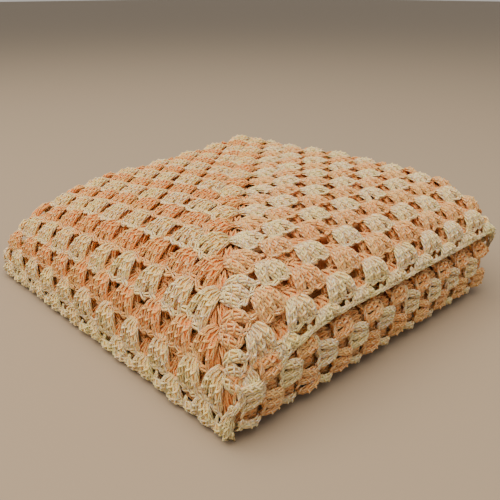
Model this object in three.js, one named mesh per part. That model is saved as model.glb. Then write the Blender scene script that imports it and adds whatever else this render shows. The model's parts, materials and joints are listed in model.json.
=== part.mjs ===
// A crocheted throw blanket, folded into a square packet.
//
// The throw is one square of crochet worked outwards in rounds from its middle. It is folded in half twice
// across, into a strip four layers thick, and then the strip is folded in half twice along its length.
// The packet so has two halves: a lower one, closed by a rounded fold at the front (-Y), and an upper one,
// which carries a corner of the throw on top. The corner's edge hangs over the left side (-X) down to the
// base and over the front down to half height. The back (+Y) is the last fold, where the packet opens.
//
// Millimetres, +Z up. The origin is on the resting plane, under the middle of the packet.

import * as THREE from 'three';
import { mergeVertices } from 'three/addons/utils/BufferGeometryUtils.js';

// ---- Driving dimensions ----------------------------------------------------------------------------------

const packetX = 310; // front corner to right corner, over the hanging edge
const packetY = 330; // front corner to left corner, over the back fold
const halfHeight = 38; // each half of the packet, where it is flat
const runThickness = 18.7; // one run of the strip: four layers of crochet
const layerThickness = 6; // the one layer that shows on top
const crown = 8; // how far the top swells in its middle
const gap = 0.3; // clearance between faces that touch
const sheetThickness = 9; // a hanging edge with its border, where it laps over a side
const backFoldThickness = 18; // the last fold, seen as a wall at the back
const foldEndInset = 4; // the front fold stops this far short of the packet's sides
const hingeInset = 24; // height of the lower bending line, and depth of the upper one below the crown

// ---- Places worked out from them -------------------------------------------------------------------------

const leftX = -packetX / 2;
const rightX = packetX / 2;
const frontY = -packetY / 2;
const backY = packetY / 2;

const packedHeight = 2 * halfHeight;
const crownHeight = packedHeight + crown;
const bodyLeftX = leftX + sheetThickness + 2; // the layers under the hanging left edge
const bodyFrontY = frontY + sheetThickness + 2; // the layers behind the hanging front edge
const foldLineY = backY - backFoldThickness; // both bending lines of the back fold lie here
const lowerHingeZ = hingeInset;
const upperHingeZ = crownHeight - hingeInset;
const drapeHingeZ = packedHeight - sheetThickness;

// ---- Soft shapes -----------------------------------------------------------------------------------------

// A blunt-edged slab: a finely divided box whose side faces bulge and whose upright corners are rounded.
// `lift(x, y)` raises the slab's upper face, and `drop(x, y)` raises its lower face.
function softSlab({ x, y, z, cells, edge = 6, corner = 18, lift = () => 0, drop = () => 0 }) {
  const size = [x[1] - x[0], y[1] - y[0], z[1] - z[0]];
  const middle = [(x[0] + x[1]) / 2, (y[0] + y[1]) / 2];
  const box = new THREE.BoxGeometry(size[0], size[1], size[2], ...cells);
  const place = box.attributes.position;
  for (let i = 0; i < place.count; i += 1) {
    const level = place.getZ(i) / (size[2] / 2); // -1 at the lower face, +1 at the upper face
    const pinch = edge * (1 - Math.sqrt(Math.max(0, 1 - level * level)));
    const [px, py] = roundedOutline(place.getX(i), place.getY(i), size[0] / 2, size[1] / 2, corner, pinch);
    const worldX = px + middle[0];
    const worldY = py + middle[1];
    const low = z[0] + drop(worldX, worldY);
    const high = z[1] + lift(worldX, worldY);
    place.setXYZ(i, worldX, worldY, low + ((level + 1) / 2) * (high - low));
  }
  return closed(box);
}

// Moves a point of a rectangle of half sizes a, b inwards, so that the corners become arcs and every
// edge steps in by `pinch`.
function roundedOutline(px, py, a, b, corner, pinch) {
  const reach = Math.max(Math.abs(px) / a, Math.abs(py) / b);
  if (reach === 0) return [0, 0];
  const scaleX = (a - pinch) / a;
  const scaleY = (b - pinch) / b;
  let qx = px * scaleX;
  let qy = py * scaleY;
  const r = corner * reach;
  const overX = Math.abs(qx) - (a - pinch) * reach + r;
  const overY = Math.abs(qy) - (b - pinch) * reach + r;
  const over = Math.hypot(Math.max(overX, 0), Math.max(overY, 0));
  if (overX > 0 && overY > 0 && over > r) {
    qx -= Math.sign(qx) * overX * (1 - r / over);
    qy -= Math.sign(qy) * overY * (1 - r / over);
  }
  return [qx, qy];
}

function closed(geometry) {
  geometry.deleteAttribute('normal');
  geometry.deleteAttribute('uv');
  const welded = mergeVertices(geometry, 1e-4);
  welded.computeVertexNormals();
  return welded;
}

// The top swells in the middle of the packet and falls away to its edges.
function swell(x, y) {
  const u = (x - (bodyLeftX + rightX) / 2) / ((rightX - bodyLeftX) / 2);
  const v = (y - (bodyFrontY + foldLineY) / 2) / ((foldLineY - bodyFrontY) / 2);
  return crown * Math.max(0, 1 - u * u) * Math.max(0, 1 - v * v);
}

// ---- Materials -------------------------------------------------------------------------------------------

function yarn(colour) {
  return new THREE.MeshStandardMaterial({ color: colour, roughness: 0.95, metalness: 0 });
}

const peachYarn = () => yarn('#e9a877');
const creamYarn = () => yarn('#f0dca6');
const mixedYarn = () => yarn('#eec694');

const blanket = new THREE.Group();

function add(name, geometry, material) {
  const mesh = new THREE.Mesh(geometry, material);
  mesh.name = name;
  blanket.add(mesh);
}

// ---- Lower half: two runs of the strip, joined by the rounded fold at the front --------------------------

function lowerHalf() {
  const foldRadius = runThickness + gap / 2;
  const foldCentreY = bodyFrontY + foldRadius;
  const across = [bodyLeftX, rightX];
  const along = [foldCentreY + gap, foldLineY - gap];
  const bottom = [0, runThickness];
  const inner = [runThickness + gap, halfHeight - gap];
  add('lower_outer_run', softSlab({ x: across, y: along, z: bottom, cells: [10, 10, 3] }), mixedYarn());
  add('lower_inner_run', softSlab({ x: across, y: along, z: inner, cells: [10, 10, 3] }), peachYarn());
  add('front_fold', foldRoll(foldCentreY, foldRadius), mixedYarn());
}

// Half a roll, lying along X in front of the two lower runs.
function foldRoll(centreY, radius) {
  const outline = new THREE.Shape();
  outline.absarc(0, 0, radius - gap, Math.PI / 2, (3 * Math.PI) / 2, false);
  outline.closePath();
  const roll = new THREE.ExtrudeGeometry(outline, {
    depth: rightX - bodyLeftX - 2 * foldEndInset,
    steps: 12,
    curveSegments: 12,
    bevelEnabled: false,
  });
  roll.rotateX(Math.PI / 2);
  roll.rotateZ(Math.PI / 2);
  roll.translate(bodyLeftX + foldEndInset, centreY, radius);
  return closed(roll);
}

// ---- Back fold: the strip's wall between the two bending lines -------------------------------------------

function backFold() {
  add('back_fold', softSlab({
    x: [bodyLeftX, rightX],
    y: [foldLineY + gap, backY],
    z: [lowerHingeZ + gap, upperHingeZ - gap],
    cells: [12, 2, 4],
    edge: 5,
    corner: 8,
  }), mixedYarn());
}

// ---- Upper half: two runs and the layer that shows on top ------------------------------------------------

function upperHalf() {
  const across = [bodyLeftX, rightX];
  const along = [bodyFrontY, foldLineY - gap];
  const innerTop = halfHeight + runThickness;
  const outerTop = packedHeight - layerThickness;
  add('upper_inner_run', softSlab({
    x: across,
    y: along,
    z: [halfHeight, innerTop],
    cells: [10, 10, 3],
    lift: (x, y) => 0.4 * swell(x, y),
  }), peachYarn());
  add('upper_outer_run', softSlab({
    x: across,
    y: along,
    z: [innerTop + gap, outerTop],
    cells: [10, 10, 2],
    lift: swell,
    drop: (x, y) => 0.4 * swell(x, y),
  }), mixedYarn());
  add('top_panel', softSlab({
    x: across,
    y: along,
    z: [outerTop + gap, packedHeight],
    cells: [12, 12, 2],
    edge: 3,
    lift: swell,
    drop: swell,
  }), creamYarn());
}

// ---- The throw's own edge, where it hangs over the front and the left side --------------------------------

// The front hem reaches half height along most of its length, and the base at the packet's front corner.
function hemBottom(x) {
  const riseLength = 60; // from the packet's front corner to where the hem hangs level
  const share = Math.min(1, Math.max(0, (x - bodyLeftX) / riseLength));
  const eased = share * share * (3 - 2 * share);
  return 12 + (halfHeight - 8) * eased;
}

function frontHem() {
  const borderHeight = 9;
  const inside = bodyFrontY - gap;
  const top = packedHeight - 3;
  add('front_hem', softSlab({
    x: [bodyLeftX, rightX],
    y: [frontY + 1, inside],
    z: [0, top],
    cells: [16, 2, 4],
    edge: 3,
    corner: 4,
    drop: (x) => hemBottom(x) + 2 * gap,
  }), creamYarn());
  add('hem_border', softSlab({
    x: [bodyLeftX, rightX],
    y: [frontY, inside - 1],
    z: [-borderHeight, 0],
    cells: [16, 2, 2],
    edge: 2,
    corner: 4,
    lift: hemBottom,
    drop: hemBottom,
  }), creamYarn());
}

function sideDrape() {
  const borderHeight = 10;
  const clearance = 0.6; // the border hangs just clear of the surface under the packet
  const outer = [leftX + 1, bodyLeftX - 2 * gap];
  const along = [frontY, foldLineY - 2];
  add('side_drape', softSlab({
    x: outer,
    y: along,
    z: [borderHeight + clearance + gap, drapeHingeZ - gap],
    cells: [2, 14, 5],
    edge: 3,
    corner: 4,
  }), creamYarn());
  add('drape_border', softSlab({
    x: [leftX, outer[1] - 1],
    y: along,
    z: [clearance, borderHeight + clearance],
    cells: [2, 14, 2],
    edge: 2,
    corner: 4,
  }), creamYarn());
}

lowerHalf();
backFold();
upperHalf();
frontHem();
sideDrape();

export default blanket;
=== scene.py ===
# %% [markdown]
# # A folded crochet throw
# The object is one square of granny-square crochet, folded in half four times into a packet sixteen
# layers thick. One corner of the throw lies on top: its edge hangs over the left side down to the base,
# and over the front to half height. We build the crochet itself, stitch by stitch, because open work that
# is only painted on a pillow looks flat as soon as light falls across it.

import json
import math

import bpy
import numpy as np
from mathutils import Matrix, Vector

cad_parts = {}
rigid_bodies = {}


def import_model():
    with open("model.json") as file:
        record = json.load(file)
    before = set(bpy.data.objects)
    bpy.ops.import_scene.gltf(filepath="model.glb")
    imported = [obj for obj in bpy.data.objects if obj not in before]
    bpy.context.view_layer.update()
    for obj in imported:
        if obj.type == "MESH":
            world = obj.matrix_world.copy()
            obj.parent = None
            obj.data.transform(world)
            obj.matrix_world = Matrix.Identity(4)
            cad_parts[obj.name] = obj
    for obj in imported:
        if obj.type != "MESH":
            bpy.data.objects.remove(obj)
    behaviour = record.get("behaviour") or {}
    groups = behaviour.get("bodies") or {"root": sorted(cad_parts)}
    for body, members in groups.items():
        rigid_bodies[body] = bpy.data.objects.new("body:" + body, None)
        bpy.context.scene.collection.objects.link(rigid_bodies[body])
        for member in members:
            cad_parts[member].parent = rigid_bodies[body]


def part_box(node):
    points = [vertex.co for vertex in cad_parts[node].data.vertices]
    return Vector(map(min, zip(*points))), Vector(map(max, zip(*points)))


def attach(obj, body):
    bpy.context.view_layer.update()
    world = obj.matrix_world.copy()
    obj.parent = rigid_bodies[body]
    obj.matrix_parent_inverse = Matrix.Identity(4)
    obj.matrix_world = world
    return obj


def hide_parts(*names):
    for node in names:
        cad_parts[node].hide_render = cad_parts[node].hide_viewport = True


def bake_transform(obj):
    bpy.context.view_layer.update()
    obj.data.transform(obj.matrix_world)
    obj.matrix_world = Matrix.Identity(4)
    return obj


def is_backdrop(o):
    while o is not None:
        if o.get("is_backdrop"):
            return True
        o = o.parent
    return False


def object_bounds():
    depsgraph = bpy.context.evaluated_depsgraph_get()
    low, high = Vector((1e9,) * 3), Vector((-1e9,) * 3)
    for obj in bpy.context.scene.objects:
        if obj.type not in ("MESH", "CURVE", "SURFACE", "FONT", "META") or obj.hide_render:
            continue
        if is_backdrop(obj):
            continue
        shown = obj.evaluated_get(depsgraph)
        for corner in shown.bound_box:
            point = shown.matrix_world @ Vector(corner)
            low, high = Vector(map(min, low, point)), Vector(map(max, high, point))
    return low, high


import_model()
cad_low, cad_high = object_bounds()
print("CAD box", [round(v, 4) for v in (*cad_low, *cad_high)])

# %% [markdown]
# ## Sizes of the crochet
# Everything is measured in rows. A round of double crochet in this yarn is 16.5 mm deep, and a cluster of
# three stitches is two rows wide, which is what keeps a granny square square. We count rows from the
# throw's edge: `a` from the left edge, `b` from the front edge, so the throw's corner is at a = b = 0.

# %% Driving sizes
ROW = 0.0165  # depth of one round, m
BORDER = 0.7  # depth of the border round, in rows
STRAND = 0.00088  # radius of one yarn strand in a stitch
BUNDLE = 0.0021  # how far a stitch's strands lie from its middle
LACE = 0.0030  # half the thickness of one layer of crochet
SEED = 11
left_x, front_y = cad_low.x, cad_low.y
right_x, back_y = cad_high.x, cad_high.y
lower_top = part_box("lower_inner_run")[1].z
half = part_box("upper_inner_run")[0].z
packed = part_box("front_hem")[1].z + 0.003
fold_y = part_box("back_fold")[0].y
print("lower half up to", round(lower_top, 4), "upper half from", round(half, 4), "to", round(packed, 4))

# %% [markdown]
# ## Camera
# The packet is seen corner-on and from a little above, so that the top and two sides show. A camera looks
# along its own -Z axis. The shortest way to aim it is to write down the viewing direction and let
# `to_track_quat` turn that into a rotation. The lens is a normal one, 43 mm on a 36 mm sensor, which
# keeps the near corner from looking swollen.

# %% Camera
FOCAL = 1.2  # focal length over sensor width
HEADING, PITCH = math.radians(47.0), math.radians(23.6)  # how far round from X, and how far down, it looks
STAND = Vector((left_x - 0.181, front_y - 0.212, 0.244))


def make_camera():
    data = bpy.data.cameras.new("camera")
    data.sensor_width = 36
    data.lens = FOCAL * data.sensor_width
    data.clip_start = 0.01
    camera = bpy.data.objects.new("camera", data)
    bpy.context.scene.collection.objects.link(camera)
    camera.location = STAND
    level = math.cos(PITCH)
    look = Vector((math.cos(HEADING) * level, math.sin(HEADING) * level, -math.sin(PITCH)))
    camera.rotation_mode = "QUATERNION"
    camera.rotation_quaternion = look.to_track_quat("-Z", "Y")
    bpy.context.scene.camera = camera


make_camera()
print("camera at", [round(v, 3) for v in STAND])

# %% [markdown]
# ## Three small helpers
# Colours are written as on a paint card, in hex, and Blender wants them linear, so one function turns
# them. A node tree is a long list of the same acts (make a node, set it up, link it), so one function
# does them all. And a mesh can be made straight from lists of vertices and faces, without any operator.

# %% Colours, nodes and meshes


def linear(hex_colour, alpha=1.0):
    """An sRGB colour such as '#e9a877' as linear values."""
    parts = [int(hex_colour[i : i + 2], 16) / 255 for i in (1, 3, 5)]
    return tuple(c / 12.92 if c <= 0.04045 else ((c + 0.055) / 1.055) ** 2.4 for c in parts) + (alpha,)


def add(tree, kind, inputs=None, **settings):
    """Adds a node. inputs maps a socket's name or number to a value or to another node's output."""
    node = tree.nodes.new(kind)
    for name, value in settings.items():
        setattr(node, name, value)
    for socket, value in (inputs or {}).items():
        if isinstance(value, bpy.types.NodeSocket):
            tree.links.new(value, node.inputs[socket])
        else:
            node.inputs[socket].default_value = value
    return node


def make_object(name, verts, faces, smooth=True):
    mesh = bpy.data.meshes.new(name)
    mesh.from_pydata([tuple(v) for v in verts], [], faces)
    mesh.polygons.foreach_set("use_smooth", [smooth] * len(mesh.polygons))
    mesh.update()
    piece = bpy.data.objects.new(name, mesh)
    bpy.context.scene.collection.objects.link(piece)
    return piece


# %% [markdown]
# ## Floor and light
# Soft yarn needs broad light from one side, or its relief is lost. One large area light stands to the
# left as a window would, a weak one fills the front, and a dim warm sky keeps the holes from going black.
# The floor is a plain pale sheet.

# %% Floor and lights
FLOOR_REACH = 12.0


def make_stage():
    tone = bpy.data.materials.new("pale_floor")
    tone.use_nodes = True
    shader = tone.node_tree.nodes["Principled BSDF"]
    shader.inputs["Base Color"].default_value = linear("#968977")
    shader.inputs["Roughness"].default_value = 0.85
    signs = ((-1, -1), (1, -1), (1, 1), (-1, 1))
    corners = [(x * FLOOR_REACH, y * FLOOR_REACH, 0) for x, y in signs]
    floor = make_object("floor", corners, [(0, 1, 2, 3)])
    floor.data.materials.append(tone)
    floor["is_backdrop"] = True


def make_light(name, place, size, power, colour):
    data = bpy.data.lights.new(name, "AREA")
    data.size = size
    data.energy = power
    data.color = linear(colour)[:3]
    light = bpy.data.objects.new(name, data)
    light.location = place
    light.rotation_mode = "QUATERNION"
    light.rotation_quaternion = (-Vector(place)).to_track_quat("-Z", "Y")
    bpy.context.scene.collection.objects.link(light)


def make_sky():
    world = bpy.data.worlds.new("studio")
    world.use_nodes = True
    sky = world.node_tree.nodes["Background"]
    sky.inputs["Color"].default_value = linear("#efe9e2")
    sky.inputs["Strength"].default_value = 0.62
    bpy.context.scene.world = world


make_stage()
make_light("window_left", place=(-0.45, 0.10, 1.55), size=2.4, power=66, colour="#ffedd6")
make_light("fill_front", place=(-0.6, -1.4, 0.7), size=1.0, power=0.9, colour="#fff0dc")
make_sky()

# %% [markdown]
# ## The folded surface
# The top layer is a sheet whose shape we can write down: it is level and slightly swollen on top, rolls
# over two rounded shoulders, and at the right and the back it turns round the folds. A cloth simulation
# could find such a shape, but then nobody could say where a row of crochet comes to lie. A shoulder is a
# quarter of a superellipse and a fold is half of one. Both are walked by arc length, because cloth hardly
# stretches.

# %% Walking over a shoulder and round a fold
RUN = half / 2  # thickness of one run of the strip
width = right_x - left_x
depth = back_y - front_y
spine = back_y - fold_y
print("packet", round(width, 3), "x", round(depth, 3), "m, the spine stands out", round(spine, 3), "m")


def quarter(distance, run, fall, power):
    """Walks a quarter superellipse from its foot. Returns the way in and the drop below the top."""
    turn = np.linspace(0, np.pi / 2, 300)
    way = run * (1 - np.cos(turn) ** (2 / power))
    drop = fall * (1 - np.sin(turn) ** (2 / power))
    walked = np.concatenate([[0], np.cumsum(np.hypot(np.diff(way), np.diff(drop)))])
    past = np.maximum(distance - walked[-1], 0)
    return np.interp(distance, walked, way) + past, np.interp(distance, walked, drop)


def half_round(distance, out, fall, power=2.3):
    """Walks over the edge and down round a fold. Returns the way out and the drop, from 0 to fall."""
    turn = np.linspace(0, np.pi, 300)
    way = out * np.abs(np.sin(turn)) ** (2 / power)
    drop = fall / 2 * (1 - np.sign(np.cos(turn)) * np.abs(np.cos(turn)) ** (2 / power))
    walked = np.concatenate([[0], np.cumsum(np.hypot(np.diff(way), np.diff(drop)))])
    past = np.maximum(distance - walked[-1], 0)
    return np.interp(distance, walked, way) - past, np.interp(distance, walked, drop)


# %% [markdown]
# ## The top layer
# A hand-folded packet is never a box. Its corners differ in height, its middle swells, the hem sags at
# the throw's corner, and two of the packet's corners are drawn in. Each of these is one small function,
# so each can be changed alone. The two shoulders meet along the packet's front left corner through a
# power sum.

# %% The top layer
POWER = 2.3  # 2 is a quarter of an ellipse, more is squarer
RUN_X, RUN_Y = 0.075, 0.092  # how far in from the left and front edges the shoulders reach
RISES = (0.007, -0.023, 0.009, -0.002)  # of the front left, back left, front right and back right corners
SWELL = 0.0094  # how much higher the middle is
HEM = 0.68  # share of the packet's height that the front hem would cover without its sag
HEM_LEAST = 0.62  # how much of that it covers away from the throw's corner
SAG, SAG_REACH = 0.45, 0.045  # what the corner adds, and over how many metres
JOIN = 7.0  # how sharply the two shoulders meet at the corner
FLARE = 0.004  # how far the front hem stands away


def top_height(u, v):
    """Height of the packet's top at u along X and v along Y, each from 0 to 1."""
    near_left, far_left, near_right, far_right = [packed + rise for rise in RISES]
    near = near_left * (1 - u) * (1 - v) + far_left * (1 - u) * v
    tilted = near + near_right * u * (1 - v) + far_right * u * v
    return tilted + SWELL * 16 * u * (1 - u) * v * (1 - v)


def hem_share(x):
    """The hem hangs lowest at the throw's corner and rises away from it, x metres from the left edge."""
    return HEM_LEAST + SAG * np.exp(-((x / SAG_REACH) ** 2))


def soft_waves(x, y, size):
    """Shallow unevenness of soft cloth that has been folded by hand."""
    slow = np.sin(31 * x + 2.0 * np.sin(23 * y)) * np.cos(27 * y + 1.3)
    quick = np.sin(68 * x - 41 * y + 0.7) * 0.45
    return size * (slow + quick)


def top_surface(along_x, along_y):
    """The top layer's place, from arc lengths measured from the left edge and from the front edge."""
    x, drop_x = quarter(along_x, RUN_X, packed, POWER)
    y, drop_y = quarter(along_y, RUN_Y, packed * HEM, POWER)
    out_x, roll = half_round(np.maximum(x - (width - RUN / 2), 0), RUN / 2, RUN)
    out_y, turned = half_round(np.maximum(y - (depth - spine), 0), spine, packed)
    x = np.minimum(x, width - RUN / 2) + out_x
    y = np.minimum(y, depth - spine) + out_y - FLARE * np.exp(-along_y / ROW)
    top = top_height(np.clip(x / width, 0, 1), np.clip(y / depth, 0, 1))
    drop_y = drop_y * hem_share(x)
    drop = (drop_x**JOIN + drop_y**JOIN) ** (1 / JOIN)
    left = np.clip(1 - drop / packed, 0, None) * (1 - turned / packed)
    z = top * left - roll * (1 - turned / packed) + soft_waves(x, y, 0.0011) * left
    return np.stack([x + left_x, y + front_y, z + LACE * (0.9 + turned / packed)], -1)


print("the top's middle is", round(float(top_height(0.5, 0.5)), 4), "m high")

# %% Two corners drawn in
CORNER_PULL = 0.014  # how far two of the packet's corners are drawn in
PULL_REACH = 0.45  # and the share of a side that moves with them


def eased(t):
    """0 below 0, 1 above 1, and a soft step between."""
    t = np.clip(t, 0, 1)
    return t * t * (3 - 2 * t)


def drawn_in(points):
    """Rounds the packet's front right and back left corners, as seen from above."""
    u = (points[..., 0] - left_x) / width
    v = (points[..., 1] - front_y) / depth
    moved = points.copy()
    moved[..., 0] -= CORNER_PULL * eased(2 * u - 1) * eased(1 - v / PULL_REACH)
    moved[..., 1] -= CORNER_PULL * eased(2 * v - 1) * eased(1 - u / PULL_REACH)
    return moved


# %% [markdown]
# ## From flat crochet to the folded surface
# Stitches are easiest to lay out flat. So the folded sheet is made as a guide mesh whose UV map says
# where each point lies on the flat throw, and a node tree later looks up each stitch point on it.

# %% Rows to arc lengths
PITCH_LEFT = 0.90  # the hanging side is gathered along its edge
PITCH_RIGHT = 1.02
STRETCH = 1.11  # and its rows hang a little long
LEAN_X, LEAN_Y = 1.075, 0.94  # the cloth is pulled a little more one way than the other


def laid_out(a, b):
    """Arc lengths along X and Y of the throw's point a, b rows from its left and front edges."""
    corner = np.minimum(a, b)
    along_x = LEAN_X * corner + PITCH_RIGHT * np.maximum(a - b, 0)
    along_y = LEAN_Y * corner + PITCH_LEFT * np.maximum(b - a, 0)
    return along_x * STRETCH * ROW, along_y * STRETCH * ROW


print("ten rows from the edges reach", [round(float(v), 3) for v in laid_out(10, 10)], "m over the cloth")

# %% [markdown]
# ## Guides for the other faces
# The lower half has a rounded front and a bottom, the two halves meet in two faces that part when the
# packet is opened, and three runs show a fold at the right. Each is a simple surface with its own rows,
# counted from its own edge, and each keeps a little inside the packet's outline to leave room for the
# stitches.

# %% Surfaces of the other faces
ROLL_TOP = 0.049  # height of the lower half's rounded front, up to the hem
ROLL_OUT = 0.015  # how far it bulges
ROLL_POWER = 4.5  # and how squarely
ROLL_FOOT = 0.0078  # height where it starts
BOTTOM = 0.0066  # height of the sheet that the bottom stitches hang from


def front_fold_surface(a, b):
    """The lower half's rounded front: b walks from the base up to the hem."""
    out, up = half_round(b * ROW, ROLL_OUT, ROLL_TOP, ROLL_POWER)
    x = left_x + 0.004 + a * ROW * 0.985
    y = front_y + 0.0092 - out
    z = ROLL_FOOT + up * (1 - 0.0110 / ROLL_TOP)
    return np.stack([x, y + soft_waves(x, 0.1 + up, 0.0008), z], -1)


def bottom_surface(a, b):
    """The face that lies on the floor. a walks from right to left, so that outward is down."""
    x = right_x - 0.008 - a * ROW
    y = front_y + 0.012 + b * ROW
    return np.stack([x, y, np.full_like(x, BOTTOM)], -1)


def parting_surface(face):
    """One of the two faces that meet half way up: face is +1 for the lower half's, -1 for the upper's."""

    def place(a, b):
        x = left_x + 0.012 + a * ROW if face > 0 else right_x - 0.010 - a * ROW
        y = front_y + 0.014 + b * ROW
        return np.stack([x, y, np.full_like(x, half - face * LACE * 1.1)], -1)

    return place


def side_roll_surface(foot):
    """The right-hand fold of the run that starts at height foot."""

    def place(a, b):
        out, down = half_round(a * ROW, RUN / 2 - 0.001, RUN - 0.006)
        y = front_y + 0.012 + b * ROW
        x = right_x - RUN / 2 + out - 0.0015
        z = foot + RUN - 0.0005 - np.minimum(down, RUN)
        return np.stack([x + soft_waves(y, foot * 9, 0.0012), y, z], -1)

    return place


# %% Making a guide
SPAN = 96.0  # rows that UV 0 to 1 stands for


def make_guide(name, a_range, b_range, place, cell=0.25):
    """A hidden sheet over a_range by b_range rows. place(a, b) gives its points."""
    cols = int(round((a_range[1] - a_range[0]) / cell)) + 1
    rows = int(round((b_range[1] - b_range[0]) / cell)) + 1
    a, b = np.meshgrid(np.linspace(*a_range, cols), np.linspace(*b_range, rows))
    points = drawn_in(place(a, b))
    step = 0.02
    side_a = drawn_in(place(a + step, b)) - drawn_in(place(a - step, b))
    side_b = drawn_in(place(a, b + step)) - drawn_in(place(a, b - step))
    outward = np.cross(side_a, side_b)
    outward /= np.maximum(np.linalg.norm(outward, axis=-1, keepdims=True), 1e-12)
    verts = points.reshape(-1, 3)
    faces = []
    for r in range(rows - 1):
        for c in range(cols - 1):
            k = r * cols + c
            faces.append((k, k + 1, k + cols + 1, k + cols))
    guide = make_object(name, verts, faces)
    flat = guide.data.uv_layers.new(name="flat")
    uv = np.stack([a.ravel() / SPAN, b.ravel() / SPAN], -1)
    loops = np.zeros(len(guide.data.loops), dtype=np.int64)
    guide.data.loops.foreach_get("vertex_index", loops)
    flat.data.foreach_set("uv", uv[loops].ravel())
    normal = guide.data.attributes.new("outward", "FLOAT_VECTOR", "POINT")
    normal.data.foreach_set("vector", outward.reshape(-1, 3).ravel())
    guide.hide_render = True
    print(name, len(faces), "faces")
    return guide


# %% [markdown]
# ## One double crochet
# A double crochet is a plump post with a small chain on its head. The yarn is several fine ends worked
# together, so a post is a bundle: two thick strands inside, and thin ones that wind round them both ways,
# like a plait. In a cluster three posts start from one hole and fan out, so we make three versions of the
# stitch, one for each lean. Each strand is a tube with very few sides, because a stitch is repeated
# hundreds of times. Its UV map runs round the yarn and along it in metres, which is what the yarn
# material needs.

# %% A strand of yarn


def tube(path, radius, sides):
    """Vertices, faces and per-corner UVs of a closed tube along path."""
    path = np.asarray(path, float)
    ahead = np.gradient(path, axis=0)
    ahead /= np.linalg.norm(ahead, axis=1, keepdims=True)
    up = np.tile([0.0, 0.0, 1.0], (len(path), 1))
    side = np.cross(ahead, up)
    side /= np.maximum(np.linalg.norm(side, axis=1, keepdims=True), 1e-9)
    over = np.cross(side, ahead)
    walked = np.concatenate([[0], np.cumsum(np.linalg.norm(np.diff(path, axis=0), axis=1))])
    verts, faces, uvs = [], [], []
    for i, centre in enumerate(path):
        taper = 0.72 if i in (0, len(path) - 1) else 1.0
        for k in range(sides):
            turn = 2 * math.pi * k / sides
            verts.append(centre + radius * taper * (math.cos(turn) * side[i] + math.sin(turn) * over[i]))
    for i in range(len(path) - 1):
        for k in range(sides):
            n = (k + 1) % sides
            faces.append((i * sides + k, (i + 1) * sides + k, (i + 1) * sides + n, i * sides + n))
            lo, hi = k / sides, (k + 1) / sides
            uvs += [(lo, walked[i]), (lo, walked[i + 1]), (hi, walked[i + 1]), (hi, walked[i])]
    last = (len(path) - 1) * sides
    faces.append(tuple(range(sides)))
    faces.append(tuple(last + k for k in reversed(range(sides))))
    uvs += [(k / sides, 0) for k in range(sides)]
    uvs += [(k / sides, walked[-1]) for k in reversed(range(sides))]
    return verts, faces, uvs


# %% The post
ROOT_SPREAD, FAN = 0.0030, 0.0065  # how far a leaning post stands aside at its root, and what its head adds
BULGE = 0.0026  # how far a post swells out of the cloth
BELOW, LENGTH = 0.12, 1.16  # in rows: a post starts a little below its row and hooks into the next
TWIST = 0.7 * math.pi  # how far a strand winds round its post


def post_middle(t, lean):
    """The post's middle line at t from 0 at its root to 1 at its head."""
    spread = ROOT_SPREAD + FAN * t**0.8
    rise = 0.0002 + BULGE * math.sin(math.pi * t**0.8)
    return np.array([lean * spread, (t * LENGTH - BELOW) * ROW, rise])


def post_core(lean, steps):
    """The yarn inside the post, which shows between the outer strands."""
    path = np.array([post_middle(t, lean) for t in np.linspace(0, 1, steps)])
    return [tube(path + [side * BUNDLE * 0.55, 0, -0.0002], BUNDLE * 0.76, 4) for side in (-1, 1)]


def post_tubes(lean, strands, steps, sides):
    """The post's outer strands. Every third winds the other way, so that they cross like a plait."""
    tubes = []
    for k in range(strands):
        way = -1 if k % 3 == 2 else 1
        path = []
        for t in np.linspace(0, 1, steps):
            turn = 2 * math.pi * k / strands + lean * 0.4 + way * TWIST * t
            plump = BUNDLE * (0.78 + 0.34 * math.sin(math.pi * t)) * (1 + 0.05 * way)
            aside = plump * np.array([1.3 * math.cos(turn), 0, 0.85 * math.sin(turn)])
            path.append(post_middle(t, lean) + aside)
        tubes.append(tube(path, STRAND, sides))
    return tubes


# %% The head and the yarn-overs


def head_tubes(lean, sides):
    """The chain on the head: two slim loops side by side, tipped like the links of a braid."""
    tubes = []
    head = post_middle(0.95, lean) + np.array([0, 0, 0.0014])
    for way in (-1, 1):
        loop = []
        for turn in np.linspace(0, 2 * math.pi, 8):
            along, across = 0.0046 * math.cos(turn), 0.0010 * math.sin(turn)
            tip = 0.0005 * math.cos(turn)
            loop.append(head + np.array([along + way * 0.0024, across + way * 0.3 * along, tip]))
        tubes.append(tube(loop, STRAND, sides))
    return tubes


def wrap_tubes(lean, sides):
    """Two yarn-overs that cross the post on a slant."""
    tubes = []
    for middle in (0.40, 0.66):
        wrap = []
        for s in (-1, 0, 1):
            over = np.array([0.0031 * s, 0, 0.0030 - 0.0020 * s * s])
            wrap.append(post_middle(middle + 0.10 * s, lean) + over)
        tubes.append(tube(wrap, STRAND, sides))
    return tubes


# %% Whole stitches


def make_stitch(name, core, strands):
    """One stitch as one mesh. Its attribute `deep` is 1 on the core and 0 on the strands around it; the yarn
    paints shade on the core by it.
    """
    verts, faces, uvs, deep = [], [], [], []
    for index, (tube_verts, tube_faces, tube_uvs) in enumerate(core + strands):
        start = len(verts)
        verts += tube_verts
        deep += [1.0 if index < len(core) else 0.0] * len(tube_verts)
        faces += [tuple(i + start for i in face) for face in tube_faces]
        uvs += [(u + 0.37 * index, v) for u, v in tube_uvs]
    stitch = make_object(name, verts, faces)
    yarn_uv = stitch.data.uv_layers.new(name="yarn")
    yarn_uv.data.foreach_set("uv", np.array(uvs).ravel())
    inner = stitch.data.attributes.new("deep", "FLOAT", "POINT")
    inner.data.foreach_set("value", deep)
    bpy.context.scene.collection.objects.unlink(stitch)
    return stitch


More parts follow.
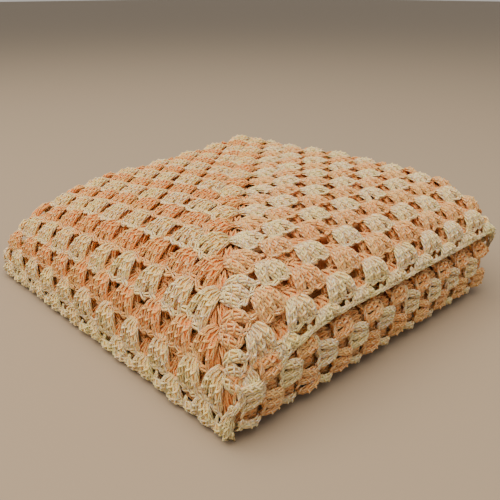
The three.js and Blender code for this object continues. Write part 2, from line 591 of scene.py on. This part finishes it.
def stitch_set(name, strands, steps, with_wraps):
    """Three stitches in a collection, leaning left, upright and right."""
    made = bpy.data.collections.new(name)
    for index, lean in enumerate((-1, 0, 1)):
        tubes = post_tubes(lean, strands, steps, 3) + head_tubes(lean, 3)
        tubes += wrap_tubes(lean, 3) if with_wraps else []
        made.objects.link(make_stitch(f"{name}_{index}", post_core(lean, steps // 2 + 1), tubes))
    return made


FINE = stitch_set("fine_stitch", strands=8, steps=6, with_wraps=True)
PLAIN = stitch_set("plain_stitch", strands=5, steps=4, with_wraps=False)

# %% [markdown]
# ## Where the stitches go
# Round `n` (counted inwards from the border) has clusters every two rows. The ones left of the diagonal
# point towards the left edge, the others towards the front edge. Each cluster gives three stitch points
# with the same place and turn, and the lean picks which of the three stitches stands there. At the
# throw's corner two clusters grow from one hole and lean apart. The border is a round of short clusters,
# finished with a chain along the edge.

# %% Cluster lists
CORNER_ASIDE, CORNER_TILT = 0.25, 0.32  # the two clusters of a corner lean away from each other
CHAIN = -1  # in place of a round's number: a single upright stitch, laid along the edge
CHAIN_AT = 0.10  # rows in from the edge


def throw_clusters(a_range, b_range):
    """Clusters of the throw's corner region, as (a, b, turn, round, reach)."""
    found = []
    last = int(max(a_range[1], b_range[1])) + 1
    for n in range(0, last):
        root = BORDER + n + 1
        for k in range(0, last):
            aside, tilt = (CORNER_ASIDE, CORNER_TILT) if k == 0 else (0.0, 0.0)
            across = root + 2 * k + aside
            found.append((root, across, math.pi / 2 - tilt, n, 1.0))
            found.append((across, root, math.pi + tilt, n, 1.0))
    return [c for c in found if a_range[0] <= c[0] < a_range[1] and b_range[0] <= c[1] < b_range[1]]


def border_clusters(last):
    """The border's short clusters along the left and the front edge, and the chain that finishes it."""
    found = []
    for k in range(0, int(last / 2)):
        across = BORDER + 2 * k
        found.append((BORDER, across, math.pi / 2, 0, BORDER))
        found.append((across, BORDER, math.pi, 0, BORDER))
    for k in range(0, last):
        found.append((CHAIN_AT, k + 1, math.pi, CHAIN, 1.15))
        found.append((k + 1, CHAIN_AT, math.pi / 2, CHAIN, 1.15))
    return found


def band_clusters(a_range, b_range, first_round=0):
    """Clusters of a plain stretch of crochet, in rounds along b that all point towards a = 0."""
    found = []
    for n in range(int(a_range[0]), int(a_range[1])):
        shift = (n % 2) + 0.5
        for k in range(int((b_range[1] - b_range[0]) / 2 + 0.5)):
            found.append((n + 1, b_range[0] + shift + 2 * k, math.pi / 2, n + first_round, 1.0))
    return [c for c in found if c[1] < b_range[1]]


# %% Stitch points


def stitch_points(name, clusters, sink):
    """A mesh of loose points, three for each cluster, with turn, lean, reach and shade attributes."""
    rng = np.random.default_rng(SEED + len(clusters))
    rows = []
    for a, b, turn, n, reach in clusters:
        shade = rng.uniform(0, 1)
        for lean in ((1,) if n == CHAIN else (0, 1, 2)):
            wobble, lift, own = rng.normal(0, (0.05, 0.0004, 0.08))
            own_reach = reach * rng.uniform(0.94, 1.06)
            rows.append((a * ROW, b * ROW, lift - sink, turn + wobble, lean, own_reach, shade + own))
    rows = np.array(rows)
    holder = make_object(name, rows[:, :3], [])
    for column, attribute in enumerate(("turn", "lean", "reach", "shade"), start=3):
        layer = holder.data.attributes.new(attribute, "FLOAT", "POINT")
        layer.data.foreach_set("value", rows[:, column])
    return holder


# %% [markdown]
# ## The node tree that crochets
# Instance on Points puts a stitch on every point. Realize Instances turns them into one flat mesh of
# crochet, Sample UV Surface finds each of its points on the guide sheet, and Set Position moves it there,
# with its own height kept along the sheet's outward direction. So one tree serves every part of the
# throw.

# %% Stitches on points


def stitches_on_points(tree, start):
    """A stitch on every point, picked, turned and stretched as the point's attributes say, as one mesh."""
    turn = add(tree, "GeometryNodeInputNamedAttribute", {"Name": "turn"}, data_type="FLOAT")
    lean = add(tree, "GeometryNodeInputNamedAttribute", {"Name": "lean"}, data_type="FLOAT")
    reach = add(tree, "GeometryNodeInputNamedAttribute", {"Name": "reach"}, data_type="FLOAT")
    index = add(tree, "FunctionNodeFloatToInt", {0: lean.outputs["Attribute"]})
    size = add(tree, "ShaderNodeCombineXYZ", {"X": 1.0, "Y": reach.outputs["Attribute"], "Z": 1.0})
    spin = add(tree, "ShaderNodeCombineXYZ", {"Z": turn.outputs["Attribute"]})
    to_rotation = add(tree, "FunctionNodeEulerToRotation", {0: spin.outputs[0]})
    made = add(tree, "GeometryNodeCollectionInfo", {"Collection": start.outputs["Stitches"],
                                                   "Separate Children": True, "Reset Children": True})
    placed = add(tree, "GeometryNodeInstanceOnPoints", {
        "Points": start.outputs["Geometry"],
        "Instance": made.outputs[0],
        "Pick Instance": True,
        "Instance Index": index.outputs[0],
        "Rotation": to_rotation.outputs[0],
        "Scale": size.outputs[0],
    })
    return add(tree, "GeometryNodeRealizeInstances", {"Geometry": placed.outputs[0]})


# %% Flat crochet onto the sheet


def laid_on_sheet(tree, start, flat_crochet):
    """Moves each point to its place on the guide sheet, and out from it by the point's own height."""
    here = add(tree, "GeometryNodeInputPosition")
    parts = add(tree, "ShaderNodeSeparateXYZ", {0: here.outputs[0]})
    span = start.outputs["Sheet span"]
    u = add(tree, "ShaderNodeMath", {0: parts.outputs["X"], 1: span}, operation="DIVIDE")
    v = add(tree, "ShaderNodeMath", {0: parts.outputs["Y"], 1: span}, operation="DIVIDE")
    flat = add(tree, "ShaderNodeCombineXYZ", {"X": u.outputs[0], "Y": v.outputs[0]})
    sheet = add(tree, "GeometryNodeObjectInfo", {"Object": start.outputs["Sheet"]})
    sheet_uv = add(tree, "GeometryNodeInputNamedAttribute", {"Name": "flat"}, data_type="FLOAT_VECTOR")
    sheet_out = add(tree, "GeometryNodeInputNamedAttribute", {"Name": "outward"}, data_type="FLOAT_VECTOR")
    sheet_place = add(tree, "GeometryNodeInputPosition")
    samples = []
    for value in (sheet_place.outputs[0], sheet_out.outputs["Attribute"]):
        sample = add(tree, "GeometryNodeSampleUVSurface", {"Mesh": sheet.outputs["Geometry"]},
                     data_type="FLOAT_VECTOR")
        tree.links.new(value, sample.inputs["Value"])
        tree.links.new(sheet_uv.outputs["Attribute"], sample.inputs["Source UV Map"])
        tree.links.new(flat.outputs[0], sample.inputs["Sample UV"])
        samples.append(sample)
    lift = add(tree, "ShaderNodeVectorMath", {0: samples[1].outputs[0], "Scale": parts.outputs["Z"]},
               operation="SCALE")
    goal = add(tree, "ShaderNodeVectorMath", {0: samples[0].outputs[0], 1: lift.outputs[0]}, operation="ADD")
    return add(tree, "GeometryNodeSetPosition", {"Geometry": flat_crochet.outputs[0],
                                                 "Position": goal.outputs[0]})


# %% The whole tree


def crochet_tree():
    tree = bpy.data.node_groups.new("crochet_on_sheet", "GeometryNodeTree")
    sockets = tree.interface
    sockets.new_socket("Geometry", in_out="INPUT", socket_type="NodeSocketGeometry")
    sockets.new_socket("Stitches", in_out="INPUT", socket_type="NodeSocketCollection")
    sockets.new_socket("Sheet", in_out="INPUT", socket_type="NodeSocketObject")
    sockets.new_socket("Sheet span", in_out="INPUT", socket_type="NodeSocketFloat")
    sockets.new_socket("Yarn", in_out="INPUT", socket_type="NodeSocketMaterial")
    sockets.new_socket("Geometry", in_out="OUTPUT", socket_type="NodeSocketGeometry")
    start = add(tree, "NodeGroupInput")
    moved = laid_on_sheet(tree, start, stitches_on_points(tree, start))
    coloured = add(tree, "GeometryNodeSetMaterial", {"Geometry": moved.outputs[0],
                                                     "Material": start.outputs["Yarn"]})
    end = add(tree, "NodeGroupOutput")
    tree.links.new(coloured.outputs[0], end.inputs[0])
    return tree


CROCHET = crochet_tree()
print("the tree has", len(CROCHET.nodes), "nodes")

# %% [markdown]
# ## Crocheting one piece
# The tree works as a modifier on a mesh of loose points. Its inputs are set by their identifiers, before
# the object is first evaluated. Then `new_from_object` freezes the result as a plain mesh, with its UV
# map and attributes, and the points go away together with their modifier.

# %% Crochet one piece


def crochet(name, clusters, guide, material, stitches=FINE, sink=0.0):
    """Crochets the clusters onto the guide sheet and returns one plain mesh object."""
    holder = stitch_points(name + "_points", clusters, sink)
    modifier = holder.modifiers.new("crochet", "NODES")
    modifier.node_group = CROCHET
    sockets = {item.name: item.identifier for item in CROCHET.interface.items_tree if item.in_out == "INPUT"}
    modifier[sockets["Stitches"]] = stitches
    modifier[sockets["Sheet"]] = guide
    modifier[sockets["Sheet span"]] = SPAN * ROW
    modifier[sockets["Yarn"]] = material
    bpy.context.view_layer.update()
    graph = bpy.context.evaluated_depsgraph_get()
    mesh = bpy.data.meshes.new_from_object(holder.evaluated_get(graph), preserve_all_data_layers=True,
                                           depsgraph=graph)
    mesh.name = name
    bpy.data.objects.remove(holder)
    piece = bpy.data.objects.new(name, mesh)
    bpy.context.scene.collection.objects.link(piece)
    print(name, len(clusters), "clusters", sum(len(p.vertices) - 2 for p in mesh.polygons), "triangles")
    return piece


# %% [markdown]
# ## Yarn
# Brushed acrylic, several fine ends worked together. Close up it is marled: each ply has its own tint,
# and the plies wind round the strand, so the eye sees thin slanting flecks. The plies are under a
# millimetre wide, the fibres finer still, so the fibre bump is drawn coarser than life to show at all.
# The loose fibre ends scatter light at grazing angles, which is what the sheen is for. Light also passes
# a little way through the yarn and comes out warmer, which is the subsurface part. A painted texture
# would need no nodes, but it would blur up close.

# %% The twist of the plies
PLY_LENGTH = 0.0110  # one turn of the plies along the strand
PLIES = 5
WANDER_SCALE = 260.0  # the twist wanders over about 4 mm


def ply_turns(tree):
    """How many turns of the twist lie before each point of a strand, and the point's own place."""
    uv = add(tree, "ShaderNodeUVMap", uv_map="yarn")
    parts = add(tree, "ShaderNodeSeparateXYZ", {0: uv.outputs[0]})
    wound = add(tree, "ShaderNodeMath", {0: parts.outputs["Y"], 1: 1 / PLY_LENGTH}, operation="MULTIPLY")
    phase = add(tree, "ShaderNodeMath", {0: parts.outputs["X"], 1: wound.outputs[0]}, operation="ADD")
    place = add(tree, "ShaderNodeTexCoord").outputs["Object"]
    drift = add(tree, "ShaderNodeTexNoise", {"Vector": place, "Scale": WANDER_SCALE, "Detail": 2.0})
    bent = add(tree, "ShaderNodeMath", {0: drift.outputs["Fac"], 1: 0.5, 2: phase.outputs[0]},
               operation="MULTIPLY_ADD")
    return bent.outputs[0], place


def ply_colours(tree, turns, tints):
    """Each ply's own tint, one after the other round the twist."""
    ring = add(tree, "ShaderNodeMath", {0: turns}, operation="FRACT")
    ramp = add(tree, "ShaderNodeValToRGB", {"Fac": ring.outputs[0]})
    ramp.color_ramp.interpolation = "EASE"
    while len(ramp.color_ramp.elements) < len(tints):
        ramp.color_ramp.elements.new(0.5)
    for i, tint in enumerate(tints):
        ramp.color_ramp.elements[i].position = i / len(tints)
        ramp.color_ramp.elements[i].color = linear(tint)
    return ramp.outputs["Color"]


# %% The dye, and painted shade on the posts' core
SHADE_SCALE = 38.0  # the depth of colour drifts over about 26 mm
DYE_SCALE = 62.0  # and patches of another tint are about as wide as a row, 16 mm


def dyed_colour_with_painted_shade(tree, place, plies, deep_dye_and_painted_shade_tint, patch_tint):
    """The plies' colour: deeper in some stitches at random, in patches another tint, and on the posts' core
    a deeper tint as painted shade.
    """
    shade = add(tree, "ShaderNodeAttribute", attribute_name="shade")
    patch = add(tree, "ShaderNodeTexNoise", {"Vector": place, "Scale": SHADE_SCALE, "Detail": 1.0})
    cast = add(tree, "ShaderNodeMath", {0: shade.outputs["Fac"], 1: 0.5, 2: patch.outputs["Fac"]},
               operation="MULTIPLY_ADD")
    strength = add(tree, "ShaderNodeMapRange", {"Value": cast.outputs[0], "From Min": 0.45, "From Max": 1.1,
                                                "To Min": 0.0, "To Max": 0.34})
    tinted = add(tree, "ShaderNodeMix", {0: strength.outputs[0], 6: plies, 7: linear(deep_dye_and_painted_shade_tint)},
                 data_type="RGBA")
    cloud = add(tree, "ShaderNodeTexNoise", {"Vector": place, "Scale": DYE_SCALE, "Detail": 1.0})
    amount = add(tree, "ShaderNodeMapRange", {"Value": cloud.outputs["Fac"], "From Min": 0.5,
                                              "From Max": 0.62, "To Min": 0.0, "To Max": 0.6})
    dyed = add(tree, "ShaderNodeMix", {0: amount.outputs[0], 6: tinted.outputs[2], 7: linear(patch_tint)},
               data_type="RGBA")
    # Painted shade: the core, which shows between the outer strands, is mixed towards the deep tint.
    deep = add(tree, "ShaderNodeAttribute", attribute_name="deep")
    inside = add(tree, "ShaderNodeMath", {0: deep.outputs["Fac"], 1: 0.55}, operation="MULTIPLY")
    final = add(tree, "ShaderNodeMix", {0: inside.outputs[0], 6: dyed.outputs[2], 7: linear(deep_dye_and_painted_shade_tint)},
                data_type="RGBA")
    return final.outputs[2]


# %% The relief of plies and fibres
FIBRE_SCALE = 1500.0  # 0.7 mm, many times a fibre's width, because finer would not show
RELIEF = 0.00035  # height of the bump


def yarn_relief(tree, place, turns):
    plies = add(tree, "ShaderNodeMath", {0: turns, 1: PLIES * 2 * math.pi}, operation="MULTIPLY")
    ridge = add(tree, "ShaderNodeMath", {0: plies.outputs[0]}, operation="SINE")
    fibre = add(tree, "ShaderNodeTexNoise", {"Vector": place, "Scale": FIBRE_SCALE, "Detail": 2.0})
    height = add(tree, "ShaderNodeMath", {0: fibre.outputs["Fac"], 1: 1.4, 2: ridge.outputs[0]},
                 operation="MULTIPLY_ADD")
    bump = add(tree, "ShaderNodeBump", {"Height": height.outputs[0], "Strength": 0.55, "Distance": RELIEF})
    return bump.outputs[0]


# %% Yarn material


def yarn_material(name, tints, deep_dye_and_painted_shade_tint, patch_tint):
    """Brushed acrylic: very rough, hardly glossy, with a faint pale halo, and warm soft shadows from light
    inside the yarn and from shade painted on the posts' core.
    """
    material = bpy.data.materials.new(name)
    material.use_nodes = True
    tree = material.node_tree
    shader = tree.nodes["Principled BSDF"]
    turns, place = ply_turns(tree)
    colour = dyed_colour_with_painted_shade(tree, place, ply_colours(tree, turns, tints), deep_dye_and_painted_shade_tint, patch_tint)
    tree.links.new(colour, shader.inputs["Base Color"])
    tree.links.new(yarn_relief(tree, place, turns), shader.inputs["Normal"])
    shader.inputs["Roughness"].default_value = 0.92
    shader.inputs["Specular IOR Level"].default_value = 0.25
    shader.inputs["Subsurface Weight"].default_value = 0.5
    shader.inputs["Subsurface Radius"].default_value = (1.0, 0.62, 0.36)
    shader.inputs["Subsurface Scale"].default_value = 0.0035
    shader.inputs["Sheen Weight"].default_value = 0.15
    shader.inputs["Sheen Roughness"].default_value = 0.45
    shader.inputs["Sheen Tint"].default_value = linear("#fff4e4")
    return material


CREAM = yarn_material("cream_acrylic_yarn", ["#ffe094", "#ffefc4", "#fdd27e", "#ffeed8", "#fdc286"],
                      deep_dye_and_painted_shade_tint="#fdc678", patch_tint="#ffe49a")
PEACH = yarn_material("peach_acrylic_yarn", ["#fcae66", "#ffcc90", "#f8964a", "#ffdcb0", "#fba45e"],
                      deep_dye_and_painted_shade_tint="#fa9240", patch_tint="#ffc078")
# The second layer's yarn: deeper orange than the peach, for cream and peach rounds alike, as painted shade
# in the holes.
UNDER_PAINTED_SHADE = yarn_material("acrylic_yarn_in_painted_shade", ["#fba660", "#fdc488", "#f79448", "#fcbc80", "#f99c56"],
                      deep_dye_and_painted_shade_tint="#f58e42", patch_tint="#fdb876")
LEMON = yarn_material("lemon_acrylic_yarn", ["#ffe29a", "#fff0c8", "#fdd680", "#ffecd0", "#fdd08e"],
                      deep_dye_and_painted_shade_tint="#fdca80", patch_tint="#ffe796")
print("yarns", [yarn.name for yarn in (CREAM, PEACH, UNDER_PAINTED_SHADE, LEMON)])

# %% [markdown]
# ## The layers inside
# Between the outer faces lie the other layers of the same throw. Each run of the strip is one sheet that
# goes to and fro four times, so we draw its cross-section once, as the path a finger would follow along
# the cloth, and carry it from front to back. Where the shoulders are rounded the layers stop short, as
# they do in a real stack. The sheet has the yarn's thickness and a low relief of rows.

# %% The room for the inner layers
INSIDE = 0.0085  # how far the inner layers keep behind the outer crochet
FACE = 0.0060  # thickness of the stitches above and below them


def shoulder_fall(reach, run, fall):
    """Drop of a shoulder at a distance in from its edge."""
    share = np.clip(1 - reach / run, 0, 1)
    return fall * (1 - (1 - share**POWER) ** (1 / POWER))


def room_above(x, y):
    """How high the inner layers may rise at x, y, keeping INSIDE behind the outer crochet."""
    in_x, in_y = x - left_x - INSIDE * 0.9, y - front_y - INSIDE * 0.9
    drop_y = shoulder_fall(in_y, RUN_Y, packed * HEM) * hem_share(x - left_x)
    drop = shoulder_fall(in_x, RUN_X, packed) ** JOIN + drop_y**JOIN
    top = top_height(np.clip((x - left_x) / width, 0, 1), np.clip((y - front_y) / depth, 0, 1))
    return top * np.clip(1 - drop ** (1 / JOIN) / packed, 0, None) - INSIDE * 0.7


# %% The strip's cross-section


def bend(centre_x, centre_z, radius, start, stop, steps=9):
    """Points round a fold, as (x, z)."""
    turn = np.linspace(start, stop, steps)
    return np.stack([centre_x + radius * np.cos(turn), centre_z + radius * np.sin(turn)], -1)


def straight(x_from, x_to, z, steps=36):
    """Points along a level layer, as (x, z)."""
    return np.stack([np.linspace(x_from, x_to, steps), np.full(steps, z)], -1)


def run_path(foot):
    """The strip's cross-section in a run whose lowest point is at height foot, as (x, z) points."""
    gap = (RUN - 0.0012) / 4
    levels = [foot + gap * (3.5 - i) + 0.0006 for i in range(4)]
    left = left_x + INSIDE + (0.012 if foot >= half else 0.0)
    end = right_x - RUN / 2 - 0.003
    outer, inner = (levels[0] - levels[3]) / 2, (levels[1] - levels[2]) / 2
    turn_left = (levels[2] - levels[3]) / 2
    left_fold = left + turn_left
    middle = (levels[2] + levels[3]) / 2
    parts = [
        straight(left, end, levels[0]),
        bend(end, (levels[0] + levels[3]) / 2, outer, np.pi / 2, -np.pi / 2)[1:-1],
        straight(end, left_fold, levels[3]),
        bend(left_fold, middle, turn_left, -np.pi / 2, -3 * np.pi / 2)[1:-1],
        straight(left_fold, end - 0.004, levels[2]),
        bend(end - 0.004, (levels[1] + levels[2]) / 2, inner, -np.pi / 2, np.pi / 2)[1:-1],
        straight(end - 0.004, left, levels[1]),
    ]
    return np.concatenate(parts)


def shaped(points, y):
    """Squeezes the stack's points under the rounded top, as soft layers are where a packet thins out."""
    x, z = points[:, 0], points[:, 1]
    room = room_above(x, y)
    upper = half + FACE + (z - half) * np.clip((room - half - FACE) / (packed - half), 0.04, 1.2)
    lower = FACE + z * np.clip(np.minimum(room - FACE, half - 2 * FACE) / half, 0.1, 1)
    return np.stack([x, y, np.where(z > half, upper, lower)], -1)


# %% One closed sheet
SHEET = 0.0017  # half the thickness of one inner layer
RELIEF_ROWS = 0.0005  # height of the rows on it


def closed_faces(rows, count):
    """Faces of two grids of rows by count points, back to back, with a rim that closes them."""
    back = rows * count
    faces = []
    for r in range(rows - 1):
        for c in range(count - 1):
            k = r * count + c
            faces.append((k, k + 1, k + count + 1, k + count))
            faces.append((back + k, back + k + count, back + k + count + 1, back + k + 1))
    for r in range(rows - 1):
        for c in (0, count - 1):
            k = r * count + c
            quad = (k, k + count, back + k + count, back + k)
            faces.append(quad if c == 0 else quad[::-1])
    for c in range(count - 1):
        for r in (0, rows - 1):
            k = r * count + c
            quad = (k, back + k, back + k + 1, k + 1)
            faces.append(quad if r == 0 else quad[::-1])
    return faces


def run_sheet(name, foot, rows=46):
    """One run of the strip as a closed sheet of even thickness."""
    path = run_path(foot)
    ahead = np.gradient(path, axis=0)
    ahead /= np.linalg.norm(ahead, axis=1, keepdims=True)
    across = np.stack([-ahead[:, 1], ahead[:, 0]], -1)
    walked = np.concatenate([[0], np.cumsum(np.linalg.norm(np.diff(path, axis=0), axis=1))])
    bulge = (np.clip(path[:, 1] / half, 0, 1) * 2 - 1) ** 2
    begin = front_y + 0.009 + np.where(path[:, 1] < half, 0.009 * bulge, 0.010)
    inside, outside = [], []
    for t in np.linspace(0, 1, rows):
        y = begin + (fold_y - begin) * t
        relief = RELIEF_ROWS * np.sin(2 * np.pi * walked / ROW) * np.sin(np.pi * y / ROW)
        for side, holder in ((1, outside), (-1, inside)):
            moved = path + across * (side * (SHEET + relief))[:, None]
            holder.append(drawn_in(shaped(moved, y)))
    verts = np.concatenate([np.concatenate(outside), np.concatenate(inside)])
    sheet = make_object(name, verts, closed_faces(rows, len(path)))
    sheet.data.materials.append(INNER)
    return sheet


# %% [markdown]
# ## Crochet in the shade
# The inner layers are the same acrylic crochet, but only slivers of them show, deep in the holes. There
# the eye sees warm bands of the two yarns and the bumps of stitches, no single strands. So a wave texture
# gives the bands and a cell texture the bumps. The bands are painted deeper and more orange than the
# yarns, as painted shade.

# %% Material of the inner layers
BAND_SCALE = 9.6  # slanting bands about 38 mm apart, a little over two rows
LOOP_SCALE = 260.0  # bumps 4 mm apart, as strands lie
FUZZ_SCALE = 1200.0  # 0.8 mm, coarser than fibres, so that they show


def inner_material():
    """Rows of cream and peach crochet, painted deeper orange as shade, without single stitches, for layers
    that only show through holes.
    """
    material = bpy.data.materials.new("layered_crochet_in_painted_shade")
    material.use_nodes = True
    tree = material.node_tree
    shader = tree.nodes["Principled BSDF"]
    place = add(tree, "ShaderNodeTexCoord").outputs["Object"]
    rows = add(tree, "ShaderNodeTexWave", {"Vector": place, "Scale": BAND_SCALE, "Distortion": 1.5,
                                           "Detail": 2.0, "Detail Scale": 3.0}, bands_direction="DIAGONAL")
    ramp = add(tree, "ShaderNodeValToRGB", {"Fac": rows.outputs["Fac"]})
    # Painted shade: both ends of the ramp are deeper than the cream and peach yarns.
    ramp.color_ramp.elements[0].color = linear("#f09a56")
    ramp.color_ramp.elements[1].color = linear("#f8c88a")
    tree.links.new(ramp.outputs["Color"], shader.inputs["Base Color"])
    loops = add(tree, "ShaderNodeTexVoronoi", {"Vector": place, "Scale": LOOP_SCALE})
    fibre = add(tree, "ShaderNodeTexNoise", {"Vector": place, "Scale": FUZZ_SCALE})
    height = add(tree, "ShaderNodeMath", {0: fibre.outputs["Fac"], 1: 0.3, 2: loops.outputs["Distance"]},
                 operation="MULTIPLY_ADD")
    bump = add(tree, "ShaderNodeBump", {"Height": height.outputs[0], "Strength": 0.8, "Distance": 0.002})
    tree.links.new(bump.outputs[0], shader.inputs["Normal"])
    shader.inputs["Roughness"].default_value = 0.95
    shader.inputs["Sheen Weight"].default_value = 0.2
    return material


INNER = inner_material()
print("inner layers are", INNER.name)

# %% [markdown]
# ## The four runs
# The strip lies in four runs, two in the lower half and two in the upper. When the packet is opened, each
# run moves with the half it lies in, so each is a piece of its own that rides on that body.

# %% Make the runs
RUNS = (("lower_outer", 0.0, "lower_half"), ("lower_inner", RUN, "lower_half"),
        ("upper_inner", half, "upper_half"), ("upper_outer", half + RUN, "upper_half"))
sheets = {}
for name, foot, body in RUNS:
    sheets[name] = run_sheet(name + "_sheet", foot)
    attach(sheets[name], body)
    print(name, "sheet made")

# %% [markdown]
# ## The outer faces
# Each face is crocheted from the same stitches onto its own guide sheet. The top layer's rounds run round
# the throw's corner and go on over the right-hand fold and down the spine. Cream and peach rounds are
# separate meshes, because each has one yarn.

# %% Helpers for a face
going_with = {name: [] for name in sheets}


def face(label, clusters, guide, place_on, run, stitches=PLAIN, sink=0.0):
    """Crochets a face in its two yarns. place_on attaches each piece to a body or bakes its place."""
    for odd, colour, yarn in ((0, "cream", CREAM), (1, "peach", PEACH)):
        own = [c for c in clusters if c[3] % 2 == odd]
        if not own:
            continue
        piece = crochet(f"{label}_{colour}", own, guide, yarn, stitches, sink)
        place_on(piece)
        going_with[run].append(piece)


def under_face(label, clusters, guide, place_on, run, sink):
    """A layer that is only seen through holes. Its rounds all take one yarn of deeper orange, which is
    painted shade.
    """
    piece = crochet(label, clusters, guide, UNDER_PAINTED_SHADE, PLAIN, sink)
    place_on(piece)
    going_with[run].append(piece)


def rides(body):
    return lambda piece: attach(piece, body)


def bends():
    return lambda piece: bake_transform(piece)


# %% The top, down over the left side and the front
lift = bends()
top_guide = make_guide("top_guide", (-1, 26), (-1, 34), lambda a, b: top_surface(*laid_out(a, b)))


def places(clusters):
    """Where the clusters' feet come to lie on the top sheet."""
    a, b = np.array([c[:2] for c in clusters]).T
    return top_surface(*laid_out(a, b))


def spine_turn(clusters):
    """How far round the spine each cluster lies, from 0 on top to 1 underneath."""
    a, b = np.array([c[:2] for c in clusters]).T
    y = quarter(laid_out(a, b)[1], RUN_Y, packed * HEM, POWER)[0]
    return half_round(np.maximum(y - (depth - spine), 0), spine, packed)[1] / packed


def kept(clusters, keep):
    return [c for c, wanted in zip(clusters, keep) if wanted]


everywhere = throw_clusters((0, 23), (0, 31))
turned = spine_turn(everywhere)
print(len(everywhere), "clusters on the top and the spine")
face("top", kept(everywhere, turned < 0.015), top_guide, lift, "upper_outer", FINE)
edge = border_clusters(27)
border = crochet("lemon_border", kept(edge, spine_turn(edge) < 0.1), top_guide, LEMON)
lift(border)
going_with["upper_outer"].append(border)

# %% [markdown]
# ## The spine
# At the back the top layer turns down round the fold that opens. Its stitches above half height make one
# piece, the ones below another.

# %% The spine
upper_bend = bends()
lower_bend = bends()
on_spine = (turned >= 0.015) & (turned < 0.96)  # past the top's edge, and not yet underneath
high = on_spine & (places(everywhere)[:, 2] > half)
face("spine_high", kept(everywhere, high), top_guide, upper_bend, "upper_inner")
face("spine_low", kept(everywhere, on_spine & ~high), top_guide, lower_bend, "lower_inner")

# %% [markdown]
# ## A second layer
# Through the holes one sees the next layer of crochet, not darkness. So a second layer of plainer
# stitches lies just under the first. It is set half a repeat aside, which puts its stitches under the
# holes, and its diagonal is filled with clusters that point at the corner.

# %% A second layer, seen through the holes of the first
UNDER_TOP, UNDER_FOLD = 0.0044, 0.005  # how far it lies under the stitches of the first
second = []
for a, b, turn, n, reach in throw_clusters((0, 21), (0, 22)):
    points_left = turn < 2
    a_shift, b_shift = (-0.5, 1) if points_left else (1, -0.5)
    second.append((a + a_shift, b + b_shift, turn, n + 1, reach))
    if points_left and b - a < 1:
        second.append((a, a, 0.75 * math.pi, n + 1, 1.4))
spots = places(second)
for body, run, keep in (("upper_half", "upper_outer", spots[:, 2] > half),
                        ("lower_half", "lower_inner", spots[:, 2] <= half)):
    under = kept(second, keep & (spine_turn(second) < 0.01))
    under_face(f"second_{body}", under, top_guide, rides(body), run, UNDER_TOP)

# %% [markdown]
# ## The lower half's front and the bottom
# These are plain stretches of crochet: rounds that all point one way, with no corner in them. The front
# is a rounded fold and is seen from close by, so it gets the fine stitches and a second layer.

# %% The lower half's front and the bottom
fold_guide = make_guide("fold_guide", (-1, 21), (-1, 6), front_fold_surface)
face("front_fold", band_clusters((0, 18.6), (0, 4.2)), fold_guide, rides("lower_half"), "lower_inner", FINE)
under_face("front_fold_second", band_clusters((0, 18.6), (0.9, 4.0)), fold_guide, rides("lower_half"),
           "lower_inner", UNDER_FOLD)
bottom_guide = make_guide("bottom_guide", (-1, 20), (-1, 20), bottom_surface)
face("bottom", band_clusters((0, 17.6), (0, 17.6)), bottom_guide, rides("lower_half"), "lower_outer")

# %% [markdown]
# ## The faces that part, and the right-hand folds
# Opening the packet shows two more faces, one on each half. On the right, three of the four runs show
# their own fold, because there the top layer covers only the uppermost. All of them are plain stitches.

# %% The faces that part, and the right-hand folds
for label, side, body, run in (("lower_parting", 1, "lower_half", "lower_inner"),
                               ("upper_parting", -1, "upper_half", "upper_inner")):
    guide = make_guide(label + "_guide", (-1, 20), (-1, 20), parting_surface(side))
    face(label, band_clusters((0, 17.4), (0, 17.6)), guide, rides(body), run)

for name, foot, body in RUNS[:3]:
    guide = make_guide(name + "_roll_guide", (-1, 4), (-1, 21), side_roll_surface(foot))
    face(name + "_roll", band_clusters((0, 2), (0, 17.6)), guide, rides(body), name)

# %% [markdown]
# The throw is a single square, 1.32 m on a side. Its strip is four layers wide and lies in four runs, so
# each run is a quarter of the throw: 1.32 m of cloth, 0.33 m deep. The guide sheets go, and the plain
# solids that the pieces replace are hidden.

# %% Sheets, replaced solids and sizes
for guide in [o for o in bpy.data.objects if o.name.endswith("_guide")]:
    bpy.data.objects.remove(guide)
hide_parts("lower_outer_run")
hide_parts("lower_inner_run", "front_fold")
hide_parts("upper_inner_run", "back_fold")
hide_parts("upper_outer_run", "top_panel", "front_hem")
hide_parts("hem_border", "side_drape", "drape_border")
low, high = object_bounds()
print("size", [round(v, 4) for v in (*low, *high)])
